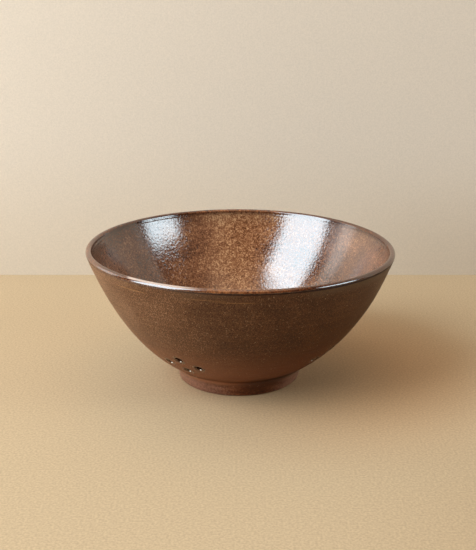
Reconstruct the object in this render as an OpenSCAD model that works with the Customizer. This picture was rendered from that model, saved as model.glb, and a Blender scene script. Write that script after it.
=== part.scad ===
// Berry bowl: a hand-thrown stoneware bowl on a turned foot ring. Groups of small
// holes low in the wall drain rinsed fruit. The inside has a glossy amber glaze that
// rolls over the lip, the outside a satin brown one, and the foot stands on bare clay.
// Millimetres. The table is z = 0, the axis of the bowl is Z, and the front is -Y.

/* [Bowl] */
// Outside diameter at the lip
rim_d = 191; // [165:1:225]
// Height from the table to the top of the lip
bowl_h = 86; // [76:0.5:100]
// Thickness of the rounded lip
lip_t = 3.8; // [3:0.1:5.5]
// Thickness of the glazed wall, square to its surface
wall_t = 6; // [4.5:0.1:8]
// Thickness of the glazed floor at its centre
floor_t = 7; // [5:0.1:9]
// Slope of the wall where it leaves the foot, up from level
rise_angle = 28.5; // [22:0.5:36]
// Lean of the wall where it meets the lip, out from upright
flare_angle = 21.5; // [14:0.5:30]
// How far the wall holds its slope above the foot, as a share of its run
low_hold = 0.333; // [0.24:0.001:0.44]
// How far the wall holds its lean below the lip, as a share of its run
high_hold = 0.333; // [0.24:0.001:0.44]

/* [Foot ring] */
// Outside diameter where the foot meets the wall
foot_top_d = 80; // [70:1:92]
// Outside diameter where the foot meets the table
foot_base_d = 76; // [66:1:88]
// Height of the foot ring
foot_h = 9.5; // [6:0.5:14]
// Width of the ring where it meets the wall
foot_top_w = 9; // [7:0.5:13]
// Width of the ring at the table, bevels included
foot_base_w = 6.5; // [4.5:0.5:9]
// Size of the bevels on both edges of the standing face
foot_bevel = 0.6; // [0.2:0.1:1.2]

/* [Drain holes] */
// Diameter of each hole inside its glaze
drain_d = 5; // [3:0.1:6.5]
// Number of groups of holes round the bowl
drain_groups = 4; // [2:1:6]
// Direction of the first group, turned to the right of the front
drain_turn = -33; // [-90:1:90]
// Height of the middle of a group above the table
drain_z = 25.4; // [24:0.1:34]
// Distance from the left hole of a group to the right one, round the wall
drain_wide = 20.8; // [16:0.2:28]
// Distance from the lower hole of a group to the upper one, up the wall
drain_tall = 13.2; // [10:0.2:16]

/* [Glazes] */
// Thickness of the glossy glaze inside and over the lip
inner_glaze_t = 0.5; // [0.3:0.05:0.9]
// Thickness of the satin glaze outside
outer_glaze_t = 0.4; // [0.2:0.05:0.8]
// How far round the lip the inner glaze comes, below level on the outside
lip_wrap = 10; // [1:1:12]
// Thickness of the glaze in the drain holes
drain_glaze_t = 0.3; // [0.2:0.05:0.6]
// Thickness of the glaze on the outside of the foot
foot_glaze_t = 0.3; // [0.2:0.05:0.6]
// Height of the bare clay between the table and the glaze on the foot
foot_bare_h = 1.5; // [0.8:0.1:3]

/* [Hidden] */
$fn = 96;

clay = [0.74, 0.63, 0.50];
glossy_amber = [0.56, 0.35, 0.19];
satin_brown = [0.38, 0.25, 0.17];
mauve_brown = [0.45, 0.29, 0.22];
dark_glaze = [0.26, 0.15, 0.09];

// Straight steps in each stretch of the section, and in a quarter of the round lip
wall_steps = 28;
lip_edge_steps = 2;
lip_steps = 7;
floor_steps = 16;
// Share of the wall, from the foot, over which the inside is still the rounded floor
floor_share = 0.16;
// Share of the wall, from the foot, above which its thickness changes to that of the lip
lip_share = 0.35;
// How nearly the rounded floor reaches the corner between wall and level floor
floor_round = 0.7;
// Halvings in the search for the point of the wall at a given height
height_search = 24;

// Section vectors are [distance from the axis, height].
// All curves run up the outside, over the lip and down the inside, so that the
// open air is always on their right.
function heading(a) = [cos(a), sin(a)];
function right_of(d) = [d.y, -d.x];
function bezier(p, t) =
    pow(1 - t, 3) * p[0] + 3 * pow(1 - t, 2) * t * p[1] + 3 * (1 - t) * t * t * p[2] + pow(t, 3) * p[3];
function bezier_slope(p, t) =
    pow(1 - t, 2) * (p[1] - p[0]) + 2 * (1 - t) * t * (p[2] - p[1]) + t * t * (p[3] - p[2]);
function bezier_dir(p, t) = bezier_slope(p, t) / norm(bezier_slope(p, t));
function smooth(x) = x <= 0 ? 0 : x >= 1 ? 1 : x * x * (3 - 2 * x);

// The outside of the wall leaves the foot at rise_angle and meets the round lip
lip_r = lip_t / 2;
lip_mid = [rim_d / 2 - lip_r, bowl_h - lip_r];
lip_foot = lip_mid + lip_r * heading(-flare_angle);
foot_top = [foot_top_d / 2, foot_h];
wall_run = norm(lip_foot - foot_top);
outside = [
    foot_top,
    foot_top + low_hold * wall_run * heading(rise_angle),
    lip_foot - high_hold * wall_run * heading(90 - flare_angle),
    lip_foot
];

// The inside follows the outside at the wall's thickness, then rounds into the floor
function thickness(t) = wall_t + (lip_t - wall_t) * smooth((t - lip_share) / (1 - lip_share));
function wall_inside(t) = bezier(outside, t) - thickness(t) * right_of(bezier_dir(outside, t));
floor_edge = wall_inside(floor_share);
floor_edge_dir = bezier_dir(outside, floor_share);
floor_mid = [0, foot_h + floor_t];
floor_corner = floor_edge - (floor_edge.y - floor_mid.y) / floor_edge_dir.y * floor_edge_dir;
rounded_floor = [
    floor_edge,
    floor_edge + floor_round * (floor_corner - floor_edge),
    floor_mid + floor_round * (floor_corner - floor_mid),
    floor_mid
];

// Each station of the section is [point on the glazed surface, direction, glaze thickness]
outside_path = [for (i = [0:wall_steps]) let (t = i / wall_steps)
    [bezier(outside, t), bezier_dir(outside, t), outer_glaze_t]];
function lip_glaze_t(a) = outer_glaze_t + (inner_glaze_t - outer_glaze_t) * (a + flare_angle) / 180;
function lip_station(a) = [lip_mid + lip_r * heading(a), heading(a + 90), lip_glaze_t(a)];
function lip_arc(from, to, steps) = [for (i = [1:steps]) lip_station(from + (to - from) * i / steps)];
lip_edge_path = lip_arc(-flare_angle, -lip_wrap, lip_edge_steps);
lip_path = concat(
    [lip_station(-lip_wrap), lip_station(0)],
    lip_arc(0, 90, lip_steps),
    lip_arc(90, 180 - flare_angle, lip_steps)
);
inside_path = [for (i = [1:wall_steps]) let (t = 1 - (1 - floor_share) * i / wall_steps)
    [wall_inside(t), -bezier_dir(outside, t), inner_glaze_t]];
floor_path = [for (i = [1:floor_steps]) let (t = i / floor_steps)
    [bezier(rounded_floor, t), bezier_dir(rounded_floor, t), inner_glaze_t]];

outer_glaze_path = concat(outside_path, lip_edge_path);
inner_glaze_path = concat(lip_path, inside_path, floor_path);

function glazed(path) = [for (s = path) s[0]];
function under_glaze(path) = [for (s = path) s[0] - s[2] * right_of(s[1])];
function reversed(points) = [for (i = [len(points) - 1:-1:0]) points[i]];
function glaze_section(path) = concat(glazed(path), reversed(under_glaze(path)));
function without_first(path) = [for (i = [1:len(path) - 1]) path[i]];

clay_path = concat(outer_glaze_path, without_first(inner_glaze_path));
underside = [[0, foot_h], foot_top];

// The foot ring's outside, glaze included, narrows towards the table
function foot_r(z) = (foot_base_d + (foot_top_d - foot_base_d) * z / foot_h) / 2;
foot_hole_top_r = foot_top_d / 2 - foot_top_w;
foot_hole_base_r = foot_base_d / 2 - foot_base_w;

// Share of the way up the outside at which the wall has the height z
function share_at(z, low = 0, high = 1, left = height_search) =
    let (middle = (low + high) / 2)
    left < 1 ? middle
    : bezier(outside, middle).y < z ? share_at(z, middle, high, left - 1)
    : share_at(z, low, middle, left - 1);

drain_share = share_at(drain_z);
drain_climb = drain_tall / 2 * bezier_dir(outside, drain_share).y;
drain_reach = 2 * wall_t;

// One solid of revolution from a section
module turned(section) {
    rotate_extrude($fn = 180)
        polygon(section);
}

// Places its children on the outside of the wall, with Z pointing straight out of it
module at_wall(turn, share) {
    p = bezier(outside, share);
    out = right_of(bezier_dir(outside, share));
    rotate([0, 0, turn - 90])
        translate([p.x, 0, p.y])
            rotate([0, atan2(out.x, out.y), 0])
                children();
}

// Places its children at every drain hole: each group is a diamond of four
module at_drains() {
    side_turn = drain_wide / 2 / bezier(outside, drain_share).x * 180 / PI;
    for (group = [0:drain_groups - 1]) {
        turn = drain_turn + group * 360 / drain_groups;
        for (side = [-1, 1]) {
            at_wall(turn + side * side_turn, drain_share)
                children();
            at_wall(turn, share_at(drain_z + side * drain_climb))
                children();
        }
    }
}

module drain_bores() {
    at_drains()
        cylinder(r = drain_d / 2 + drain_glaze_t, h = 2 * drain_reach, center = true, $fn = 32);
}

// Thrown clay: wall, lip and floor in one piece, flat below where the foot was joined
module bowl_wall() {
    color(clay)
        difference() {
            turned(concat(underside, under_glaze(clay_path)));
            drain_bores();
        }
}

// Turned clay ring that the bowl stands on, bevelled at both edges of its standing face
module foot_ring() {
    color(clay)
        turned([
            [foot_hole_base_r + foot_bevel, 0],
            [foot_base_d / 2 - foot_glaze_t - foot_bevel, 0],
            [foot_r(foot_bevel) - foot_glaze_t, foot_bevel],
            [foot_top_d / 2 - foot_glaze_t, foot_h],
            [foot_hole_top_r, foot_h],
            [foot_hole_base_r, foot_bevel]
        ]);
}

// Glossy glaze over the floor, the inside and the lip
module inner_glaze() {
    color(glossy_amber)
        difference() {
            turned(glaze_section(inner_glaze_path));
            drain_bores();
        }
}

// Satin glaze from the foot up to the lip
module outer_glaze() {
    color(satin_brown)
        difference() {
            turned(glaze_section(outer_glaze_path));
            drain_bores();
        }
}

// Glaze on the outside of the foot, wiped back above the table
module foot_glaze() {
    color(mauve_brown)
        turned([
            [foot_r(foot_bare_h) - foot_glaze_t, foot_bare_h],
            [foot_r(foot_bare_h), foot_bare_h],
            [foot_top_d / 2, foot_h],
            [foot_top_d / 2 - foot_glaze_t, foot_h]
        ]);
}

// Glaze that lines every drain hole, flush with the wall on both sides
module drain_glaze() {
    color(dark_glaze)
        intersection() {
            turned(concat(underside, glazed(clay_path)));
            at_drains()
                difference() {
                    cylinder(r = drain_d / 2 + drain_glaze_t, h = 2 * drain_reach, center = true, $fn = 32);
                    cylinder(r = drain_d / 2, h = 3 * drain_reach, center = true, $fn = 32);
                }
        }
}

bowl_wall();
foot_ring();
inner_glaze();
outer_glaze();
foot_glaze();
drain_glaze();
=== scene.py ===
# A stoneware berry bowl, thrown and turned on a wheel, drilled with groups of drain
# holes and dipped in two glazes. Metres throughout. The table is z = 0, the axis of
# the bowl is Z and the front is -Y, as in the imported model.
import math

import bpy
import numpy as np
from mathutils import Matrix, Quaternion, Vector


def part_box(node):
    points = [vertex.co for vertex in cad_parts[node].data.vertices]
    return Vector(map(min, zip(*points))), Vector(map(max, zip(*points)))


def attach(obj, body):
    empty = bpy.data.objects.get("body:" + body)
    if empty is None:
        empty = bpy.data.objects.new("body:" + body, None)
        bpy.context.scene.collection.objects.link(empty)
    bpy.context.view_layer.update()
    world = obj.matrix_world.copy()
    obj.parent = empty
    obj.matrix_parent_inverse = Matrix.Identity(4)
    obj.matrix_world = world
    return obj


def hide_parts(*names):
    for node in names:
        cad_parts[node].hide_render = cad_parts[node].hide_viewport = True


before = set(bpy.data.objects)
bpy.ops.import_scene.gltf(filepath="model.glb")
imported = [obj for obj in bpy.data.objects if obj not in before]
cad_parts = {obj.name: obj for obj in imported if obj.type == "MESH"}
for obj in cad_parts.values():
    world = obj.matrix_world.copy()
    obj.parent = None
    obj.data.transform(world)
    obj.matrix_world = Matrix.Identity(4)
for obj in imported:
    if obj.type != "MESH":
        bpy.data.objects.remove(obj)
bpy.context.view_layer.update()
MM = 0.001


# Camera: stands in front of the bowl and above it, and looks at the upper part of it.
# Its place and lens come from fitting the bowl's outline in the 476 x 550 photograph.
camera_drop = math.radians(17.06)
camera_distance = 608 * MM
camera_side = -1 * MM
aim_height = 65.5 * MM
picture_height_px = 550
focal_length_px = 973.4

camera_data = bpy.data.cameras.new("camera")
camera_data.lens = focal_length_px / picture_height_px * camera_data.sensor_width
camera_data.clip_start = 10 * MM
camera = bpy.data.objects.new("camera", camera_data)
camera.location = (
    camera_side,
    -camera_distance * math.cos(camera_drop),
    aim_height + camera_distance * math.sin(camera_drop),
)
camera.rotation_euler = (math.pi / 2 - camera_drop, 0, 0)
bpy.context.collection.objects.link(camera)
bpy.context.scene.camera = camera
bpy.context.scene.view_settings.view_transform = "Standard"


# Table and backdrop: kraft paper with a paler paper wall rising behind it, plain but for painted shade.
# The table has a round opening under the foot, so that light reaches the underside.
def srgb(red, green, blue):
    """A colour as seen on screen, 0 to 255, as the linear values that shaders use."""
    linear = [((c / 255 + 0.055) / 1.055) ** 2.4 for c in (red, green, blue)]
    return (*linear, 1.0)


def add(tree, kind, settings=None, **inputs):
    """Adds a node. Each other keyword is an input's name, or i and its number."""
    node = tree.nodes.new(kind)
    for key, value in (settings or {}).items():
        setattr(node, key, value)
    for key, value in inputs.items():
        socket = node.inputs[int(key[1:]) if key[1:].isdigit() else key.replace("_", " ")]
        if isinstance(value, bpy.types.NodeSocket):
            tree.links.new(value, socket)
        else:
            socket.default_value = value
    return node


def maths(tree, operation, *values):
    """The result of a maths node on one, two or three values."""
    inputs = {f"i{n}": value for n, value in enumerate(values)}
    return add(tree, "ShaderNodeMath", {"operation": operation}, **inputs).outputs[0]


def noise(tree, place, scale, detail=2.0):
    """Soft noise from 0 to 1; scale is about the number of spots in a metre."""
    return add(tree, "ShaderNodeTexNoise", Vector=place, Scale=scale, Detail=detail).outputs[0]


def between(tree, value, low, high):
    """Rises smoothly from 0 to 1 as the value goes from low to high."""
    settings = {"interpolation_type": "SMOOTHSTEP"}
    return add(tree, "ShaderNodeMapRange", settings, Value=value, From_Min=low, From_Max=high).outputs[0]


def blend(tree, share, colour, other, way="MIX"):
    """Two colours blended by a share."""
    settings = {"data_type": "RGBA", "blend_type": way}
    return add(tree, "ShaderNodeMix", settings, i0=share, i6=colour, i7=other).outputs[2]


def colour_ramp(tree, value, *stops):
    """The colour at a value between stops, each a position and a colour."""
    node = add(tree, "ShaderNodeValToRGB", Fac=value)
    elements = node.color_ramp.elements
    while len(elements) < len(stops):
        elements.new(1)
    for element, (position, colour) in zip(elements, stops):
        element.position = position
        element.color = colour
    return node.outputs[0]


def new_material(name, **inputs):
    """A material, its tree, its surface shader with plain inputs set, and its place socket."""
    material = bpy.data.materials.new(name)
    material.use_nodes = True
    tree = material.node_tree
    surface = tree.nodes["Principled BSDF"]
    for key, value in inputs.items():
        surface.inputs[key.replace("_", " ")].default_value = value
    return material, tree, surface, add(tree, "ShaderNodeTexCoord").outputs["Object"]


def paper(name, corners, faces, colour_rule, fibre_low):
    """A flat sheet of plain paper, seen through from its back, so that the bowl shows from
    every side. The colour rule builds the colour from the place, and fibre_low is the
    grey, 0 to 255, that the darkest fibres multiply it by."""
    mesh = bpy.data.meshes.new(name)
    mesh.from_pydata(corners, [], faces)
    sheet = bpy.data.objects.new(name, mesh)
    bpy.context.collection.objects.link(sheet)
    material, tree, surface, place = new_material(name, Roughness=0.9, Specular_IOR_Level=0.1)
    fibre = colour_ramp(
        tree, noise(tree, place, 800, 3), (0.3, srgb(*[fibre_low] * 3)), (0.7, srgb(255, 255, 255))
    )
    toned = colour_rule(tree, place)
    tree.links.new(blend(tree, 1.0, toned, fibre, "MULTIPLY"), surface.inputs["Base Color"])
    clear = add(tree, "ShaderNodeBsdfTransparent").outputs[0]
    is_back = add(tree, "ShaderNodeNewGeometry").outputs["Backfacing"]
    one_sided = add(tree, "ShaderNodeMixShader", i0=is_back, i1=surface.outputs[0], i2=clear).outputs[0]
    tree.links.new(one_sided, tree.nodes["Material Output"].inputs["Surface"])
    mesh.materials.append(material)


def near_spot(tree, place, spot, far, near):
    """Rises from 0 to 1 as a place comes nearer to a spot."""
    gap = add(tree, "ShaderNodeVectorMath", {"operation": "DISTANCE"}, i0=place, i1=spot)
    return between(tree, gap.outputs["Value"], far, near)


shade_spot = (55 * MM, 0, 0)
corner_spot = (330 * MM, -280 * MM, 0)


def table_colour(tree, place):
    """Painted shadow: browner in the bowl's shadow; painted shade: darker towards the front right."""
    in_shade = near_spot(tree, place, shade_spot, 150 * MM, 30 * MM)
    shaded = blend(tree, in_shade, srgb(197, 172, 138), srgb(197, 158, 117))
    in_corner = near_spot(tree, place, corner_spot, 330 * MM, 120 * MM)
    return blend(tree, in_corner, shaded, srgb(180, 154, 121))


def backdrop_colour(tree, place):
    """Painted shade: a little darker and warmer towards the table."""
    z = add(tree, "ShaderNodeSeparateXYZ", Vector=place).outputs[2]
    return blend(tree, between(tree, z, 130 * MM, 0), srgb(215, 199, 181), srgb(208, 190, 168))


table_r = 4.0
opening_inset = 3.5 * MM
opening_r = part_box("foot_glaze")[1].x - opening_inset
table_steps = 64
turns = [2 * math.pi * n / table_steps for n in range(table_steps)]
table_points = [(r * math.cos(turn), r * math.sin(turn), 0) for r in (opening_r, table_r) for turn in turns]
table_faces = []
for n in range(table_steps):
    following = (n + 1) % table_steps
    table_faces.append((n, n + table_steps, following + table_steps, following))
paper("table", table_points, table_faces, table_colour, fibre_low=226)
backdrop_side = 2.6
backdrop_y = 214 * MM
backdrop_top = 2.2
paper("backdrop", [
    (-backdrop_side, backdrop_y, 0),
    (backdrop_side, backdrop_y, 0),
    (backdrop_side, backdrop_y, backdrop_top),
    (-backdrop_side, backdrop_y, backdrop_top),
], [(0, 1, 2, 3)], backdrop_colour, fibre_low=243)


# Studio light: a tall soft window on the left, a wide one on the right, a small white
# board behind on the left, a warm ceiling, a lamp that shines up through the table's
# opening, and a weak even light from the room.
def soft_window(name, turn, height, distance, wide, tall, brightness, colour, lean=0, fade=0.3):
    """A soft lamp aimed at the bowl. Turn and height are in degrees, turn to the right of
    the front. Lean turns the lamp in its own plane. It fades out towards its edges, and
    wide and tall are its size where it has faded to half."""
    lamp_data = bpy.data.lights.new(name, "AREA")
    lamp_data.shape = "RECTANGLE"
    lamp_data.size = wide / (1 - fade)
    lamp_data.size_y = tall / (1 - fade)
    lamp_data.energy = brightness * lamp_data.size * lamp_data.size_y * math.pi
    lamp_data.color = colour
    lamp_data.use_nodes = True
    tree = lamp_data.node_tree
    spot = add(tree, "ShaderNodeNewGeometry").outputs["Parametric"]
    strength = 1.0
    for across in add(tree, "ShaderNodeSeparateXYZ", Vector=spot).outputs[:2]:
        off_middle = maths(tree, "ABSOLUTE", maths(tree, "SUBTRACT", across, 0.5))
        from_edge = maths(tree, "SUBTRACT", 0.5, off_middle)
        strength = maths(tree, "MULTIPLY", between(tree, from_edge, 0, fade), strength)
    tree.links.new(strength, tree.nodes["Emission"].inputs["Strength"])
    lamp = bpy.data.objects.new(name, lamp_data)
    lamp.visible_camera = False
    around = math.radians(turn)
    up = math.radians(height)
    towards = Vector((math.sin(around) * math.cos(up), -math.cos(around) * math.cos(up), math.sin(up)))
    lamp.location = towards * distance + Vector((0, 0, aim_height))
    lamp.rotation_mode = "QUATERNION"
    leaned = Quaternion((0, 0, 1), math.radians(lean))
    lamp.rotation_quaternion = towards.to_track_quat("Z", "Y") @ leaned
    bpy.context.collection.objects.link(lamp)


soft_window(
    "left_window", turn=-62.5, height=29, distance=1.6, wide=1.02, tall=1.75,
    brightness=9.2, colour=(0.8, 0.92, 1.0), fade=0.2,
)
soft_window(
    "right_window", turn=75, height=23, distance=1.6, wide=0.8, tall=0.52,
    brightness=8.2, colour=(0.77, 0.92, 1.0), lean=-12, fade=0.24,
)
soft_window(
    "white_board", turn=-108, height=19, distance=0.5, wide=0.22, tall=0.26,
    brightness=1.3, colour=(0.9, 0.95, 1.0),
)
soft_window(
    "from_below", turn=0, height=-90, distance=0.6, wide=0.5, tall=0.5,
    brightness=1.6, colour=(1.0, 0.95, 0.9),
)
soft_window(
    "ceiling", turn=0, height=86, distance=1.3, wide=1.2, tall=1.2,
    brightness=1.3, colour=(1.0, 0.68, 0.44),
)

room = bpy.data.worlds.new("room")
room.use_nodes = True
room.node_tree.nodes["Background"].inputs["Color"].default_value = (1.0, 0.75, 0.53, 1)
room.node_tree.nodes["Background"].inputs["Strength"].default_value = 0.06
bpy.context.scene.world = room


# Thrown wall: one piece of stoneware, pulled up on the wheel, turned when leather-hard
# and drilled low down. The glazes hide it except under the bowl. Section vectors are
# distance from the axis and height; all curves run up the outside and down the inside.
lean_room = 0.6 * MM
rim_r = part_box("inner_glaze")[1].x - lean_room
bowl_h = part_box("inner_glaze")[1].z
foot_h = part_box("foot_ring")[1].z
foot_top_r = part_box("foot_glaze")[1].x
lip_r = 1.9 * MM
wall_t = 6 * MM
floor_t = 7 * MM
rise_angle = math.radians(28.5)
flare_angle = math.radians(21.5)
low_hold = 0.333
high_hold = 0.333
floor_share = 0.16
lip_share = 0.35
floor_round = 0.7
glaze_line_angle = math.radians(-10)
inner_glaze_t = 0.5 * MM
outer_glaze_t = 0.4 * MM


def heading(angle):
    return np.array([math.cos(angle), math.sin(angle)])


def right_of(direction):
    return np.array([direction[1], -direction[0]])


def bezier(p, t):
    return (1 - t) ** 3 * p[0] + 3 * (1 - t) ** 2 * t * p[1] + 3 * (1 - t) * t * t * p[2] + t**3 * p[3]


def bezier_out(p, t):
    """The way out of a curve that has the open air on its right."""
    slope = (1 - t) ** 2 * (p[1] - p[0]) + 2 * (1 - t) * t * (p[2] - p[1]) + t * t * (p[3] - p[2])
    return right_of(slope / np.linalg.norm(slope))


def smooth(x):
    x = min(1, max(0, x))
    return x * x * (3 - 2 * x)


lip_middle = np.array([rim_r - lip_r, bowl_h - lip_r])
lip_foot = lip_middle + lip_r * heading(-flare_angle)
foot_top = np.array([foot_top_r, foot_h])
wall_run = np.linalg.norm(lip_foot - foot_top)
outside = [
    foot_top,
    foot_top + low_hold * wall_run * heading(rise_angle),
    lip_foot - high_hold * wall_run * heading(math.pi / 2 - flare_angle),
    lip_foot,
]


def wall_inside(t):
    thickness = wall_t + (2 * lip_r - wall_t) * smooth((t - lip_share) / (1 - lip_share))
    return bezier(outside, t) - thickness * bezier_out(outside, t)


floor_edge = wall_inside(floor_share)
floor_middle = np.array([0, foot_h + floor_t])
floor_edge_out = bezier_out(outside, floor_share)
floor_slope = -floor_edge_out[1] / floor_edge_out[0]
floor_corner = np.array([floor_edge[0] - (floor_edge[1] - floor_middle[1]) * floor_slope, floor_middle[1]])
rounded_floor = [
    floor_edge,
    floor_edge + floor_round * (floor_corner - floor_edge),
    floor_middle + floor_round * (floor_corner - floor_middle),
    floor_middle,
]


def lip_path(steps, start, end):
    """Points round the lip between two angles up from level, each with its way out."""
    return [(lip_middle + lip_r * heading(a), heading(a)) for a in np.linspace(start, end, steps)]


def outside_path(wall_steps, lip_steps):
    """Points up the outside, from the foot to the glaze line, each with its way out."""
    wall = [(bezier(outside, t), bezier_out(outside, t)) for t in np.linspace(0, 1, wall_steps)]
    return wall + lip_path(lip_steps, -flare_angle, glaze_line_angle)[1:]


def inside_path(lip_steps, wall_steps, floor_steps):
    """Points from the glaze line over the lip and down to the middle of the floor."""
    lip = lip_path(lip_steps, glaze_line_angle, math.pi - flare_angle)
    wall_shares = np.linspace(1, floor_share, wall_steps)
    wall = [(wall_inside(t), -bezier_out(outside, t)) for t in wall_shares]
    level = [(bezier(rounded_floor, t), bezier_out(rounded_floor, t)) for t in np.linspace(0, 1, floor_steps)]
    return lip + wall[1:] + level[1:]


# Where glaze lies on clay the section has fewer points, because nothing shows there
joint_outside = outside_path(wall_steps=60, lip_steps=3)
joint_inside = inside_path(lip_steps=16, wall_steps=60, floor_steps=24)


def sunk(path, depth):
    """The points of a path sunk under its surface, by a length or by a rule that gives it
    from the distance along the path."""
    steps = [0.0] + [np.linalg.norm(b[0] - a[0]) for a, b in zip(path, path[1:])]
    rule = depth if callable(depth) else lambda along: depth
    return [p - rule(along) * out for (p, out), along in zip(path, np.cumsum(steps))]


def node_group(name, *sockets):
    """A new geometry tree with named inputs; returns it, its inputs and its one output."""
    tree = bpy.data.node_groups.new(name, "GeometryNodeTree")
    for label, kind in sockets:
        tree.interface.new_socket(label, in_out="INPUT", socket_type="NodeSocket" + kind)
    tree.interface.new_socket("Geometry", in_out="OUTPUT", socket_type="NodeSocketGeometry")
    return tree, tree.nodes.new("NodeGroupInput").outputs, tree.nodes.new("NodeGroupOutput").inputs[0]


def use_group(tree, group, **inputs):
    """Uses one geometry tree inside another."""
    node = tree.nodes.new("GeometryNodeGroup")
    node.node_tree = group
    for key, socket in inputs.items():
        tree.links.new(socket, node.inputs[key.replace("_", " ")])
    return node.outputs[0]


def position(tree):
    return add(tree, "GeometryNodeInputPosition").outputs[0]


def parts_of(tree, vector):
    return add(tree, "ShaderNodeSeparateXYZ", Vector=vector).outputs


def attribute(tree, name, kind="FLOAT"):
    return add(tree, "GeometryNodeInputNamedAttribute", {"data_type": kind}, Name=name).outputs["Attribute"]


def wheel_group():
    """Turns a section, a row of points in the XZ plane, once round the Z axis."""
    tree, given, made = node_group("wheel", ("Section", "Geometry"), ("Steps round", "Int"))
    rows = add(tree, "GeometryNodeAttributeDomainSize", Geometry=given["Section"]).outputs["Point Count"]
    columns = maths(tree, "ADD", given["Steps round"], 1)
    grid = add(
        tree, "GeometryNodeMeshGrid", Size_X=1, Size_Y=1, Vertices_X=columns, Vertices_Y=rows
    ).outputs[0]
    across, along, _ = parts_of(tree, position(tree))
    angle = maths(tree, "MULTIPLY", maths(tree, "ADD", across, 0.5), math.tau)
    row = maths(tree, "MULTIPLY", maths(tree, "ADD", along, 0.5), maths(tree, "SUBTRACT", rows, 1))
    index = add(tree, "FunctionNodeFloatToInt", Float=row).outputs[0]
    station = add(
        tree, "GeometryNodeSampleIndex", {"data_type": "FLOAT_VECTOR"},
        Geometry=given["Section"], Value=position(tree), Index=index,
    ).outputs[0]
    open_face = add(
        tree, "GeometryNodeSampleIndex",
        Geometry=given["Section"], Value=attribute(tree, "open_face"), Index=index,
    ).outputs[0]
    radius, _, height = parts_of(tree, station)
    turned_place = add(
        tree, "ShaderNodeCombineXYZ",
        X=maths(tree, "MULTIPLY", radius, maths(tree, "SINE", angle)),
        Y=maths(tree, "MULTIPLY", maths(tree, "MULTIPLY", radius, maths(tree, "COSINE", angle)), -1),
        Z=height,
    ).outputs[0]
    marked = add(
        tree, "GeometryNodeStoreNamedAttribute", Geometry=grid, Name="open_face", Value=open_face
    ).outputs[0]
    shell = add(tree, "GeometryNodeSetPosition", Geometry=marked, Position=turned_place).outputs[0]
    weld_gap = MM / 1000
    closed = add(tree, "GeometryNodeMergeByDistance", Geometry=shell, Distance=weld_gap).outputs[0]
    tree.links.new(closed, made)
    return tree


def distance_from_axis(tree, place):
    x, y, _ = parts_of(tree, place)
    return maths(tree, "SQRT", maths(tree, "MULTIPLY_ADD", x, x, maths(tree, "MULTIPLY", y, y)))


def ring_place(tree, place, slowness):
    """A place for noise that is drawn out round the bowl, as all marks of the wheel are."""
    x, y, z = parts_of(tree, place)
    slow = maths(tree, "MULTIPLY", maths(tree, "ADD", x, y), slowness)
    return add(tree, "ShaderNodeCombineXYZ", X=distance_from_axis(tree, place), Y=slow, Z=z).outputs[0]


def rings_group():
    """Sinks a turned piece's open face by the faint rings that the fingers leave."""
    tree, given, made = node_group(
        "rings", ("Pot", "Geometry"), ("Ring depth", "Float"), ("Ring count", "Float")
    )
    height = noise(tree, ring_place(tree, position(tree), 0.1), given["Ring count"], 3)
    depth = maths(tree, "MULTIPLY", maths(tree, "SUBTRACT", height, 0.75), given["Ring depth"])
    sink = add(
        tree, "ShaderNodeVectorMath", {"operation": "SCALE"},
        i0=add(tree, "GeometryNodeInputNormal").outputs[0],
        Scale=maths(tree, "MULTIPLY", depth, attribute(tree, "open_face")),
    ).outputs[0]
    ringed = add(tree, "GeometryNodeSetPosition", Geometry=given["Pot"], Offset=sink).outputs[0]
    tree.links.new(ringed, made)
    return tree


def drain_group():
    """Sets a copy of a piece at every drain hole, its Z square out of the wall."""
    tree, given, made = node_group(
        "drain_pattern",
        ("Piece", "Geometry"), ("Marks", "Object"), ("Drain groups", "Int"), ("Drain turn", "Float"),
    )
    group_marks = add(tree, "GeometryNodeObjectInfo", Object=given["Marks"]).outputs["Geometry"]
    copies, number = add(
        tree, "GeometryNodeDuplicateElements", {"domain": "POINT"},
        Geometry=group_marks, Amount=given["Drain groups"],
    ).outputs
    step = maths(tree, "DIVIDE", math.tau, given["Drain groups"])
    angle = maths(tree, "MULTIPLY_ADD", number, step, given["Drain turn"])
    about_z = {"rotation_type": "Z_AXIS"}
    place, way_out = [
        add(tree, "ShaderNodeVectorRotate", about_z, Vector=vector, Angle=angle).outputs[0]
        for vector in (position(tree), attribute(tree, "out", "FLOAT_VECTOR"))
    ]
    aimed = add(
        tree, "GeometryNodeStoreNamedAttribute", {"data_type": "FLOAT_VECTOR"},
        Geometry=copies, Name="aim", Value=way_out,
    ).outputs[0]
    placed = add(tree, "GeometryNodeSetPosition", Geometry=aimed, Position=place).outputs[0]
    square = add(
        tree, "FunctionNodeAlignRotationToVector", {"axis": "Z"},
        Vector=attribute(tree, "aim", "FLOAT_VECTOR"),
    ).outputs[0]
    copied = add(
        tree, "GeometryNodeInstanceOnPoints", Points=placed, Instance=given["Piece"], Rotation=square
    ).outputs[0]
    tree.links.new(add(tree, "GeometryNodeRealizeInstances", Geometry=copied).outputs[0], made)
    return tree


HAND_INPUTS = (
    ("Height", "Float"), ("Radius", "Float"), ("Drop", "Float"), ("Shift", "Float"),
    ("Belly", "Float"), ("Wobble", "Float"),
)


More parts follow.
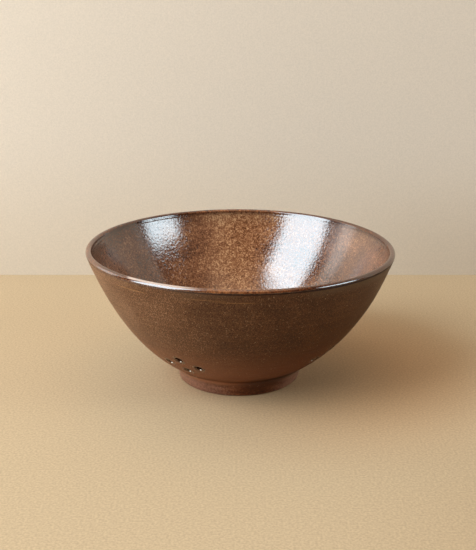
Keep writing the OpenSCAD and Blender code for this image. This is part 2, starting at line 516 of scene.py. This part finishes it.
def hand_group():
    """Leans a piece as the hand does: the lip sits a little off the foot and drops to the
    right, the wall bellies out on the right, and all is a little out of round. Then
    shades it smooth between sharp edges."""
    tree, given, made = node_group("hand", ("Pot", "Geometry"), *HAND_INPUTS, ("Material", "Material"))
    x, y, z = parts_of(tree, position(tree))
    up = maths(tree, "DIVIDE", z, given["Height"])
    right_share = maths(tree, "MULTIPLY_ADD", maths(tree, "DIVIDE", x, given["Radius"]), 0.5, 0.5)
    fall = maths(tree, "MULTIPLY", maths(tree, "MULTIPLY", up, up), maths(tree, "POWER", right_share, 3))
    uneven = maths(tree, "SUBTRACT", noise(tree, position(tree), 11), 0.5)
    wobble = maths(tree, "MULTIPLY", uneven, given["Wobble"])
    swell = maths(tree, "DIVIDE", maths(tree, "MULTIPLY", wobble, up), given["Radius"])
    low_belly = maths(tree, "MULTIPLY", between(tree, up, 0.15, 0.4), between(tree, x, 0, given["Radius"]))
    full_belly = maths(tree, "MULTIPLY", low_belly, between(tree, up, 0.98, 0.6))
    shift = maths(tree, "MULTIPLY", maths(tree, "SUBTRACT", up, 0.5), given["Shift"])
    sideways = maths(tree, "MULTIPLY_ADD", full_belly, given["Belly"], shift)
    offset = add(
        tree, "ShaderNodeCombineXYZ",
        X=maths(tree, "MULTIPLY_ADD", x, swell, sideways),
        Y=maths(tree, "MULTIPLY", y, swell),
        Z=maths(tree, "MULTIPLY", maths(tree, "MULTIPLY", fall, given["Drop"]), -1),
    ).outputs[0]
    leaned = add(tree, "GeometryNodeSetPosition", Geometry=given["Pot"], Offset=offset).outputs[0]
    crease = math.radians(32)
    is_smooth = maths(tree, "LESS_THAN", add(tree, "GeometryNodeInputMeshEdgeAngle").outputs[0], crease)
    faces = add(tree, "GeometryNodeSetShadeSmooth", Geometry=leaned).outputs[0]
    edges = add(
        tree, "GeometryNodeSetShadeSmooth", {"domain": "EDGE"}, Geometry=faces, Shade_Smooth=is_smooth
    ).outputs[0]
    real = add(tree, "GeometryNodeRealizeInstances", Geometry=edges).outputs[0]
    coloured = add(tree, "GeometryNodeSetMaterial", Geometry=real, Material=given["Material"]).outputs[0]
    tree.links.new(coloured, made)
    return tree


wheel = wheel_group()
rings = rings_group()
drain_pattern = drain_group()
hand = hand_group()
TURNED_INPUTS = (
    ("Section", "Geometry"), ("Steps round", "Int"), ("Ring depth", "Float"), ("Ring count", "Float"),
)
DRAIN_INPUTS = (("Marks", "Object"), ("Drain groups", "Int"), ("Drain turn", "Float"))


def passed_on(given, inputs):
    """The input sockets that a tree hands to a group inside it."""
    return {label.replace(" ", "_"): given[label] for label, _ in inputs}


def by_hand(tree, given, pot, made):
    """Ends a tree by leaning its piece as the hand does."""
    leaned = use_group(tree, hand, Pot=pot, Material=given["Material"], **passed_on(given, HAND_INPUTS))
    tree.links.new(leaned, made)


def turned_pot(tree, given):
    """A section turned on the wheel, with the rings of the fingers."""
    thrown = use_group(tree, wheel, Section=given["Section"], Steps_round=given["Steps round"])
    return use_group(tree, rings, Pot=thrown, **passed_on(given, TURNED_INPUTS[2:]))


def turned_group():
    """A turned piece of clay or glaze."""
    tree, given, made = node_group("turned", *TURNED_INPUTS, *HAND_INPUTS, ("Material", "Material"))
    by_hand(tree, given, turned_pot(tree, given), made)
    return tree


def drilled_group():
    """A turned piece that is drilled through at every drain hole."""
    tree, given, made = node_group(
        "drilled", *TURNED_INPUTS, *DRAIN_INPUTS, ("Drill radius", "Float"), ("Drill length", "Float"),
        *HAND_INPUTS, ("Material", "Material"),
    )
    drill = add(
        tree, "GeometryNodeMeshCylinder",
        Vertices=48, Radius=given["Drill radius"], Depth=given["Drill length"],
    ).outputs["Mesh"]
    drills = use_group(tree, drain_pattern, Piece=drill, **passed_on(given, DRAIN_INPUTS))
    pot = add(tree, "GeometryNodeMeshBoolean", {"operation": "DIFFERENCE", "solver": "MANIFOLD"})
    tree.links.new(turned_pot(tree, given), pot.inputs["Mesh 1"])
    tree.links.new(drills, pot.inputs["Mesh 2"])
    by_hand(tree, given, pot.outputs["Mesh"], made)
    return tree


turned = turned_group()
drilled = drilled_group()
lip_drop = 1.5 * MM
by_hand_values = {
    "Height": bowl_h, "Radius": rim_r, "Drop": lip_drop, "Shift": 0.9 * MM,
    "Belly": 1.4 * MM, "Wobble": 0.5 * MM,
}


def make_piece(name, slot, node, tree, open_points, hidden_points, **values):
    """Runs a geometry tree on a section and keeps the result as a plain mesh. The open
    points make the faces that show. A section whose ends both lie off the axis is closed.
    Values are given to the tree by name."""
    points = [*open_points, *hidden_points]
    if points[0][0] > 0 and points[-1][0] > 0:
        points.append(points[0])
    mesh = bpy.data.meshes.new(name + "_section")
    mesh.from_pydata([(r, 0, z) for r, z in points], [(n - 1, n) for n in range(1, len(points))], [])
    open_face = mesh.attributes.new("open_face", "FLOAT", "POINT")
    open_face.data.foreach_set("value", [float(n < len(open_points)) for n in range(len(points))])
    draft = bpy.data.objects.new(name + "_section", mesh)
    bpy.context.collection.objects.link(draft)
    modifier = draft.modifiers.new("turned", "NODES")
    modifier.node_group = tree
    named = {key.replace("_", " "): value for key, value in values.items()} | by_hand_values
    for item in tree.interface.items_tree:
        if item.name in named:
            modifier[item.identifier] = named[item.name]
    evaluated = draft.evaluated_get(bpy.context.evaluated_depsgraph_get())
    made = bpy.data.meshes.new_from_object(evaluated)
    made.name = name
    bpy.data.objects.remove(draft)
    bpy.data.meshes.remove(mesh)
    piece = bpy.data.objects.new(name, made)
    bpy.context.collection.objects.link(piece)
    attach(piece, "root")
    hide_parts(node)
    return piece


# Drain holes: four groups of four in a diamond, each hole drilled square through the
# wall. The wall's clay is made in this section too, because it is drilled as it is made.
drain_r = 2.5 * MM
drain_glaze_t = 0.3 * MM
drain_z = 25.4 * MM
drain_wide = 20.8 * MM
drain_tall = 13.2 * MM
halvings = 40


def share_at(z):
    """Share of the way up the outside at which the wall has the height z, by halving."""
    low, high = 0.0, 1.0
    for _ in range(halvings):
        middle = (low + high) / 2
        low, high = (middle, high) if bezier(outside, middle)[1] < z else (low, middle)
    return low


def drain_marks():
    """Points at the four holes of one group, each with its way out of the wall."""
    share = share_at(drain_z)
    climb = drain_tall / 2 * bezier_out(outside, share)[0]
    side = drain_wide / 2 / bezier(outside, share)[0]
    places, ways_out = [], []
    for turn, z in ((side, drain_z), (-side, drain_z), (0, drain_z + climb), (0, drain_z - climb)):
        level = Vector((math.sin(turn), -math.cos(turn), 0))
        radius, height = bezier(outside, share_at(z))
        out, out_up = bezier_out(outside, share_at(z))
        places.append(level * radius + Vector((0, 0, height)))
        ways_out.append(level * out + Vector((0, 0, out_up)))
    mesh = bpy.data.meshes.new("drain_marks")
    mesh.from_pydata(places, [], [])
    stored_out = mesh.attributes.new("out", "FLOAT_VECTOR", "POINT")
    stored_out.data.foreach_set("vector", [part for way in ways_out for part in way])
    marks = bpy.data.objects.new("drain_marks", mesh)
    bpy.context.collection.objects.link(marks)
    return marks


drain_values = {"Marks": drain_marks(), "Drain_groups": 4, "Drain_turn": math.radians(-33)}
drilling = {**drain_values, "Drill_radius": drain_r + drain_glaze_t, "Drill_length": 4 * wall_t}


def within(tree, value, start, full, fading, end):
    """Rises from 0 at the start to 1 when full, and falls from fading to 0 at the end."""
    return maths(tree, "MULTIPLY", between(tree, value, start, full), between(tree, value, end, fading))


def clay_material():
    """Bare fired stoneware: toasted buff, gritty, with dark iron specks; painted contact shadow at the table.
    """
    material, tree, surface, place = new_material("bare_stoneware", Roughness=0.85)
    body = colour_ramp(
        tree, noise(tree, place, 120, 5), (0.3, srgb(150, 112, 80)), (0.7, srgb(186, 148, 112))
    )
    iron = between(tree, noise(tree, place, 900), 0.66, 0.7)
    specked = blend(tree, iron, body, srgb(70, 44, 28))
    _, _, z = parts_of(tree, place)
    # Painted contact shadow: the clay is darker just above the table.
    by_table = within(tree, z, 0.2 * MM, 0.5 * MM, 2 * MM, 3 * MM)
    contact_shadowed = blend(tree, maths(tree, "MULTIPLY", by_table, 0.8), specked, srgb(74, 44, 28))
    tree.links.new(contact_shadowed, surface.inputs["Base Color"])
    grit = noise(tree, place, 1600, 3)
    bump = add(tree, "ShaderNodeBump", Height=grit, Strength=0.8, Distance=0.1 * MM)
    tree.links.new(bump.outputs[0], surface.inputs["Normal"])
    return material


clay = clay_material()
make_piece(
    "bowl_clay", "bare_stoneware", "bowl_wall", drilled,
    [],
    [
        np.array([0, foot_h]),
        *sunk(joint_outside, outer_glaze_t),
        *sunk(joint_inside, inner_glaze_t),
    ],
    Steps_round=180, Ring_depth=0.0, Ring_count=1.0, Material=clay, **drilling,
)


# Foot ring: the clay ring that the bowl stands on, turned from the same lump as the
# wall, bevelled at both edges of its standing face and left bare there.
foot_base_r = 38 * MM
foot_top_w = 9 * MM
foot_base_w = 6.5 * MM
foot_bevel = 0.6 * MM
foot_glaze_t = 0.3 * MM


def foot_r(z):
    return foot_base_r + (foot_top_r - foot_base_r) * z / foot_h


make_piece(
    "foot_clay", "bare_stoneware", "foot_ring", turned,
    [],
    [
        (foot_base_r - foot_base_w + foot_bevel, 0),
        (foot_base_r - foot_glaze_t - foot_bevel, 0),
        (foot_r(foot_bevel) - foot_glaze_t, foot_bevel),
        (foot_top_r - foot_glaze_t, foot_h),
        (foot_top_r - foot_top_w, foot_h),
        (foot_base_r - foot_base_w, foot_bevel),
    ],
    Steps_round=240, Ring_depth=0.0, Ring_count=1.0, Material=clay,
)


# Inner glaze: glossy amber iron glaze poured into the bowl and over the lip. It breaks
# into ochre, rust and dark specks and has the dimples of an orange's peel.
def below_lip(tree, place):
    """How far a place lies below the top of the lip, which drops to the right."""
    x, _, z = parts_of(tree, place)
    right_share = maths(tree, "MULTIPLY_ADD", x, 0.5 / rim_r, 0.5)
    lip_top = maths(tree, "MULTIPLY_ADD", maths(tree, "POWER", right_share, 3), -lip_drop, bowl_h)
    return maths(tree, "SUBTRACT", lip_top, z)


def line_plainness(tree, x):
    """How plain the line between the two glazes is: it gets fainter towards the left."""
    return maths(tree, "MULTIPLY_ADD", between(tree, x, 0, -60 * MM), -0.65, 1)


def amber_material():
    """A grain of three noises, coloured from iron brown to ochre. The ranges of x are
    where it gets darker, greyer or paler between the left, at -95 mm, and the right,
    at 95 mm; the darker left is painted shade, the greyer and paler places are
    painted reflections. The depths are those of the lip, the line under it, the
    painted shade and painted light below it, and the wall. A painted highlight lies
    along the lip's front left."""
    material, tree, surface, place = new_material("glossy_amber_glaze", Roughness=0.1, IOR=1.9)
    x, y, _ = parts_of(tree, place)
    depth = below_lip(tree, place)
    fine = maths(tree, "MULTIPLY", noise(tree, place, 1050), 0.6)
    grain = maths(tree, "MULTIPLY_ADD", noise(tree, place, 450, 3), 0.3, fine)
    clouds = maths(tree, "MULTIPLY_ADD", noise(tree, place, 45, 4), 0.35, grain)
    # Painted shade darkens the left of the inside; it is also darker towards the right.
    lighter_right = maths(tree, "MULTIPLY_ADD", between(tree, x, -78 * MM, 5 * MM), 0.12, clouds)
    darker_right = maths(tree, "MULTIPLY_ADD", between(tree, x, 5 * MM, 60 * MM), -0.15, lighter_right)
    # Painted light: lighter near the top of the wall, under the lip.
    painted_light_band = maths(tree, "MULTIPLY_ADD", between(tree, depth, 26 * MM, 5 * MM), 0.05, darker_right)
    specked = colour_ramp(
        tree, maths(tree, "SUBTRACT", painted_light_band, 0.195),
        (0.34, srgb(58, 30, 17)),
        (0.46, srgb(112, 68, 42)),
        (0.56, srgb(148, 97, 63)),
        (0.70, srgb(208, 159, 114)),
    )
    ragged = maths(tree, "MULTIPLY_ADD", noise(tree, place, 700, 2), 1.4 * MM, depth)
    # Painted reflections: a grey veil on the left of the inside, a faint mauve one left of the middle and a
    # pale one at the right.
    greyer = maths(tree, "MULTIPLY", between(tree, x, -35 * MM, -85 * MM), 0.4)
    greyed = blend(tree, greyer, specked, srgb(95, 75, 68))
    mauve_strip = within(tree, x, -60 * MM, -35 * MM, -20 * MM, 0)
    veiled_left = blend(tree, maths(tree, "MULTIPLY", mauve_strip, 0.1), greyed, srgb(150, 116, 98))
    paler = maths(tree, "MULTIPLY", between(tree, x, 52 * MM, 80 * MM), 0.35)
    veiled = blend(tree, paler, veiled_left, srgb(152, 124, 108))
    outer_side = between(tree, distance_from_axis(tree, place), rim_r - 1.6 * MM, rim_r - 0.6 * MM)
    inner_side = maths(tree, "SUBTRACT", 1, outer_side)
    on_lip = between(tree, ragged, 3.4 * MM, 1.8 * MM)
    # The lip's own tint, paler at its left end with a painted reflection.
    lip_tint = colour_ramp(
        tree, between(tree, x, -95 * MM, -60 * MM),
        (0.0, srgb(246, 222, 196)),
        (1.0, srgb(174, 143, 120)),
    )
    lip_coloured = blend(tree, on_lip, veiled, lip_tint, "MULTIPLY")
    iron = maths(tree, "MULTIPLY", between(tree, noise(tree, place, 420), 0.48, 0.58), 0.7)
    lip_specked = blend(tree, maths(tree, "MULTIPLY", iron, on_lip), lip_coloured, srgb(78, 42, 25))
    glaze_line = maths(tree, "MULTIPLY", outer_side, between(tree, ragged, 2.0 * MM, 2.5 * MM))
    plainness = line_plainness(tree, x)
    lined = blend(tree, maths(tree, "MULTIPLY", glaze_line, plainness), lip_specked, srgb(56, 24, 8))
    # Painted shade: a dark band inside, just under the lip, and a fainter one deeper down.
    under_start = between(tree, ragged, 1.7 * MM, 2.5 * MM)
    under_lip = maths(tree, "MULTIPLY", under_start, between(tree, ragged, 4.6 * MM, 3.2 * MM))
    under_side = maths(tree, "MULTIPLY", under_start, inner_side)
    deep_share = maths(tree, "MULTIPLY", between(tree, depth, 13 * MM, 3 * MM), 0.4)
    deepened = blend(tree, maths(tree, "MULTIPLY", deep_share, under_side), lined, srgb(52, 27, 15))
    shadowed = maths(tree, "MULTIPLY", maths(tree, "MULTIPLY", under_lip, inner_side), 0.5)
    toned = blend(tree, shadowed, deepened, srgb(52, 27, 15))
    # Painted highlight: a pale strip along the top of the lip's front left.
    highlight_side = within(tree, x, -63 * MM, -60 * MM, -34 * MM, -18 * MM)
    highlight_front = maths(tree, "MULTIPLY", highlight_side, between(tree, y, 0, -10 * MM))
    painted_highlight = maths(tree, "MULTIPLY", highlight_front, between(tree, depth, 0.8 * MM, 0.3 * MM))
    tree.links.new(blend(tree, painted_highlight, toned, srgb(190, 166, 152)), surface.inputs["Base Color"])
    pits = between(tree, noise(tree, place, 1000, 1), 0.56, 0.72)
    peel = maths(tree, "MULTIPLY_ADD", pits, -0.3, noise(tree, place, 600, 1))
    dimpled = maths(tree, "MULTIPLY_ADD", on_lip, -0.6, 1)
    relief = maths(tree, "MULTIPLY", peel, dimpled)
    bump = add(tree, "ShaderNodeBump", Height=relief, Strength=1.0, Distance=0.075 * MM)
    tree.links.new(maths(tree, "MULTIPLY_ADD", on_lip, -0.06, 0.1), surface.inputs["Roughness"])
    tree.links.new(bump.outputs[0], surface.inputs["Normal"])
    return material


glaze_end_run = 0.5 * MM
inner_end_depth = 0.3 * MM
groove_down = 6.6 * MM
groove_half = 0.6 * MM
groove_depth = 0.2 * MM
fine_groove_down = 8.6 * MM
fine_groove_half = 0.5 * MM
fine_groove_depth = 0.07 * MM


def inner_face(along):
    """How far the glaze lies under its full thickness: thinner where it ends under the
    lip, and in the two grooves that the throwing rib left inside the lip."""
    end = inner_end_depth * (1 - smooth(along / glaze_end_run))
    groove = groove_depth * math.exp(-(((along - groove_down) / groove_half) ** 2))
    fine_groove = fine_groove_depth * math.exp(-(((along - fine_groove_down) / fine_groove_half) ** 2))
    return end + groove + fine_groove


make_piece(
    "inner_coat", "glossy_amber_glaze", "inner_glaze", drilled,
    sunk(inside_path(lip_steps=28, wall_steps=130, floor_steps=36), inner_face),
    reversed(sunk(joint_inside, inner_glaze_t)),
    Steps_round=360, Ring_depth=0.07 * MM, Ring_count=260.0, Material=amber_material(), **drilling,
)


# Outer glaze: a thinner satin brown glaze, with light specks, streaks that follow the
# throwing and a greyer band where it was dipped twice under the lip.
# The colour of the painted warm light from the table, low on the wall.
bounce_brown = srgb(130, 76, 44)
# Each is a height below the lip's top, the x of its start and end, and its strength
SCRATCHES = (
    (7.2 * MM, -72 * MM, -48 * MM, 0.4),
    (6.6 * MM, -34 * MM, -4 * MM, 0.22),
    (7.6 * MM, -16 * MM, 12 * MM, 0.3),
)
scratch_fade = 8 * MM


def brown_material():
    """A fine grain drawn out in streaks round the bowl, greyer in patches next to the lip.
    Painted shade darkens it towards the right and just above the foot on the right, and
    painted warm light from the table makes it lighter and redder low down, and redder
    towards the right."""
    material, tree, surface, place = new_material(
        "satin_brown_glaze", Roughness=0.46, IOR=1.5, Specular_IOR_Level=0.22
    )
    x, y, z = parts_of(tree, place)
    fine = maths(tree, "MULTIPLY_ADD", noise(tree, place, 1600), 0.45, 0.045)
    cloud = maths(tree, "MULTIPLY_ADD", noise(tree, place, 60, 3), 0.08, fine)
    streaks = noise(tree, ring_place(tree, place, 0.06), 500, 3)
    # Painted shade: darker towards the right, and a little more at the far right.
    darker_right = maths(tree, "MULTIPLY_ADD", between(tree, x, -90 * MM, 0), -0.075, cloud)
    darkest_right = maths(tree, "MULTIPLY_ADD", between(tree, x, 15 * MM, 80 * MM), -0.01, darker_right)
    level = maths(tree, "MULTIPLY_ADD", streaks, 0.07, darkest_right)
    body = colour_ramp(
        tree, level,
        (0.2, srgb(56, 30, 14)), (0.32, srgb(100, 65, 41)), (0.44, srgb(162, 122, 92)),
    )
    speck = maths(tree, "MULTIPLY", between(tree, noise(tree, place, 1000), 0.64, 0.74), 0.5)
    # Painted light: warm light from the table makes the wall lighter and redder low down.
    painted_light_band = maths(tree, "MULTIPLY", between(tree, z, 50 * MM, 14 * MM), 0.75)
    warmed = blend(tree, painted_light_band, body, bounce_brown)
    # Painted warm light from the table: redder to the right, more so low down.
    redder = maths(tree, "MULTIPLY", between(tree, x, -30 * MM, 60 * MM), between(tree, z, 100 * MM, 35 * MM))
    reddened = blend(tree, redder, warmed, srgb(204, 170, 88), "MULTIPLY")
    # Painted shade: darker just above the foot on the right.
    low = maths(tree, "MULTIPLY", between(tree, z, foot_h + 8 * MM, foot_h + 2 * MM), 0.6)
    low_right = maths(tree, "MULTIPLY", low, between(tree, x, 2 * MM, 14 * MM))
    darkened = blend(tree, low_right, reddened, srgb(66, 30, 11))
    specked = blend(tree, speck, darkened, srgb(186, 152, 120))
    depth = below_lip(tree, place)
    scratched = specked
    for down, start, end, strength in SCRATCHES:
        off_line = maths(tree, "ABSOLUTE", maths(tree, "SUBTRACT", depth, down))
        line = between(tree, off_line, 0.28 * MM, 0.1 * MM)
        ends = within(tree, x, start, start + scratch_fade, end - scratch_fade, end)
        front = maths(tree, "MULTIPLY", between(tree, y, 0, -10 * MM), strength)
        share = maths(tree, "MULTIPLY", maths(tree, "MULTIPLY", line, ends), front)
        scratched = blend(tree, share, scratched, srgb(198, 142, 84))
    patches = between(tree, noise(tree, ring_place(tree, place, 0.4), 60, 2), 0.4, 0.6)
    by_lip = maths(tree, "MULTIPLY", between(tree, depth, 9 * MM, 4 * MM), 0.6)
    band = maths(tree, "MULTIPLY", by_lip, patches)
    banded = blend(tree, band, scratched, srgb(90, 70, 52))
    plainness = line_plainness(tree, x)
    glaze_line = maths(tree, "MULTIPLY", between(tree, depth, 3.0 * MM, 2.6 * MM), plainness)
    tree.links.new(blend(tree, glaze_line, banded, srgb(46, 22, 10)), surface.inputs["Base Color"])
    grain = noise(tree, place, 1400)
    bump = add(tree, "ShaderNodeBump", Height=grain, Strength=1.0, Distance=0.03 * MM)
    tree.links.new(bump.outputs[0], surface.inputs["Normal"])
    return material


outer_end_depth = 0.2 * MM


def outer_face(along):
    """The glaze thins in a fine groove where it meets the lip's glaze."""
    return outer_end_depth * smooth((along - outer_run + glaze_end_run) / glaze_end_run)


outer_open = outside_path(wall_steps=170, lip_steps=6)
outer_run = sum(np.linalg.norm(b[0] - a[0]) for a, b in zip(outer_open, outer_open[1:]))
make_piece(
    "outer_coat", "satin_brown_glaze", "outer_glaze", drilled,
    sunk(outer_open, outer_face),
    reversed(sunk(joint_outside, outer_glaze_t)),
    Steps_round=360, Ring_depth=0.22 * MM, Ring_count=350.0, Material=brown_material(), **drilling,
)


# Foot glaze: the brown glaze on the outside of the foot, pooled in the corner under the
# wall and so glossier and redder there, and wiped back above the table.
foot_bare_h = 0.9 * MM


def foot_material():
    """Mauve brown, rusty in the middle and dark at the right, with a corner that goes
    from ochre brown at the left to nearly black at the right. The mauve is partly a
    painted reflection of the table; the dark at the right and the black of the corner
    are painted shade, with a band that is a painted reflection of the table's shadow;
    the far right is lighter with a painted sheen, and pale specks are painted glints."""
    material, tree, surface, place = new_material(
        "foot_glaze", Roughness=0.3, IOR=1.5, Specular_IOR_Level=0.34
    )
    x, _, z = parts_of(tree, place)
    streaks = maths(tree, "MULTIPLY", noise(tree, ring_place(tree, place, 0.1), 600, 3), 0.3)
    mottled = maths(tree, "MULTIPLY_ADD", noise(tree, place, 900, 3), 0.4, streaks)
    # Painted shade: darker towards the right; painted sheen: lighter again at the far right.
    darker_right = maths(tree, "MULTIPLY_ADD", between(tree, x, -34 * MM, 12 * MM), -0.17, mottled)
    lighter_right = maths(tree, "MULTIPLY_ADD", between(tree, x, 14 * MM, 30 * MM), 0.18, darker_right)
    # The mauve is the brown glaze under a painted reflection of the lit table.
    mauve = colour_ramp(
        tree, lighter_right, (0.05, srgb(42, 20, 9)), (0.19, srgb(80, 42, 24)), (0.39, srgb(136, 92, 72)),
    )
    rust = colour_ramp(
        tree, lighter_right, (0.05, srgb(40, 18, 6)), (0.19, srgb(84, 38, 16)), (0.39, srgb(140, 84, 52)),
    )
    in_rust = within(tree, x, -16 * MM, 2 * MM, 14 * MM, 30 * MM)
    body = blend(tree, in_rust, mauve, rust)
    # The pooled corner: ochre brown at the left, then painted shade to nearly black at the right.
    corner_colour = colour_ramp(
        tree, between(tree, x, -15 * MM, 25 * MM),
        (0.0, srgb(144, 88, 56)),
        (0.4, srgb(118, 66, 38)),
        (1.0, srgb(60, 26, 10)),
    )
    corner = maths(tree, "MULTIPLY", between(tree, z, foot_h - 3 * MM, foot_h), 0.8)
    cornered = blend(tree, corner, body, corner_colour)
    # Painted reflection of the table's shadow: a dark band high on the foot at the right.
    shadow_reflection_band = within(tree, x, -6 * MM, 14 * MM, 20 * MM, 34 * MM)
    shadow_reflection = maths(tree, "MULTIPLY", shadow_reflection_band, between(tree, z, 2 * MM, 7 * MM))
    darkened = blend(tree, maths(tree, "MULTIPLY", shadow_reflection, 0.75), cornered, srgb(70, 31, 12))
    # Painted glints: small pale specks.
    light = maths(tree, "MULTIPLY", between(tree, noise(tree, place, 620), 0.68, 0.74), 0.4)
    tree.links.new(blend(tree, light, darkened, srgb(190, 150, 126)), surface.inputs["Base Color"])
    return material


foot_pool = 4.6 * MM
foot_side_points = 8
foot_corner_points = 12
pool_low = np.array([foot_r(foot_h - foot_pool), foot_h - foot_pool])
pool_high = foot_top + foot_pool * heading(rise_angle)
foot_side = [(foot_r(z), z) for z in np.linspace(foot_bare_h, foot_h - foot_pool, foot_side_points)]
foot_corner = [
    (1 - t) ** 2 * pool_low + 2 * (1 - t) * t * foot_top + t * t * pool_high
    for t in np.linspace(0, 1, foot_corner_points)
]
make_piece(
    "foot_coat", "foot_glaze", "foot_glaze", turned,
    [*foot_side, *foot_corner[1:]],
    [
        (foot_top_r - foot_glaze_t, foot_h),
        (foot_r(foot_bare_h) - foot_glaze_t, foot_bare_h),
    ],
    Steps_round=360, Ring_depth=0.12 * MM, Ring_count=500.0, Material=foot_material(),
)


# Drain glaze: the glaze that ran into the drain holes and rolls over their edges. One
# sleeve is turned from its section, and a copy of it is set into every hole.
roll_r = 4.0 * MM
roll_depth = 1.7 * MM
roll_bend = 0.5 * MM
roll_rise = 0.05 * MM
roll_tuck = 0.1 * MM
roll_points = 9
sleeve_gap = 0.01 * MM
sleeve_set_back = 0.45 * MM


def sleeve_group():
    """One glaze sleeve turned from its section, set into every drain hole."""
    tree, given, made = node_group(
        "sleeves", *TURNED_INPUTS, *DRAIN_INPUTS, *HAND_INPUTS, ("Material", "Material")
    )
    sleeves = use_group(tree, drain_pattern, Piece=turned_pot(tree, given), **passed_on(given, DRAIN_INPUTS))
    by_hand(tree, given, sleeves, made)
    return tree


def drain_material():
    """Thick pooled glaze, nearly black and glossy."""
    material, tree, surface, place = new_material(
        "drain_glaze", Roughness=0.12, IOR=2.3, Specular_Tint=(1.0, 0.8, 0.62, 1.0)
    )
    body = colour_ramp(
        tree, noise(tree, place, 900, 3), (0.4, srgb(40, 21, 12)), (0.6, srgb(70, 42, 26)),
    )
    tree.links.new(body, surface.inputs["Base Color"])
    return material


def roll(level, way):
    """The glaze rolled over one end of a hole, from inside the hole to the wall's face."""
    curve = [
        np.array([drain_r, level - way * roll_depth]),
        np.array([drain_r, level - way * roll_tuck]),
        np.array([drain_r + roll_bend, level + way * roll_rise]),
        np.array([roll_r, level - way * roll_tuck]),
    ]
    return [bezier(curve, t) for t in np.linspace(0, 1, roll_points)]


sleeve_body_r = drain_r + drain_glaze_t - sleeve_gap
make_piece(
    "drain_sleeves", "drain_glaze", "drain_glaze", sleeve_group(),
    [*reversed(roll(0, 1)), *roll(-wall_t, -1)],
    [(sleeve_body_r, -wall_t + sleeve_set_back), (sleeve_body_r, -sleeve_set_back)],
    Steps_round=40, Ring_depth=0.0, Ring_count=1.0, Material=drain_material(), **drain_values,
)


# The marks of the drain holes have done their work.
bpy.data.objects.remove(drain_values["Marks"])
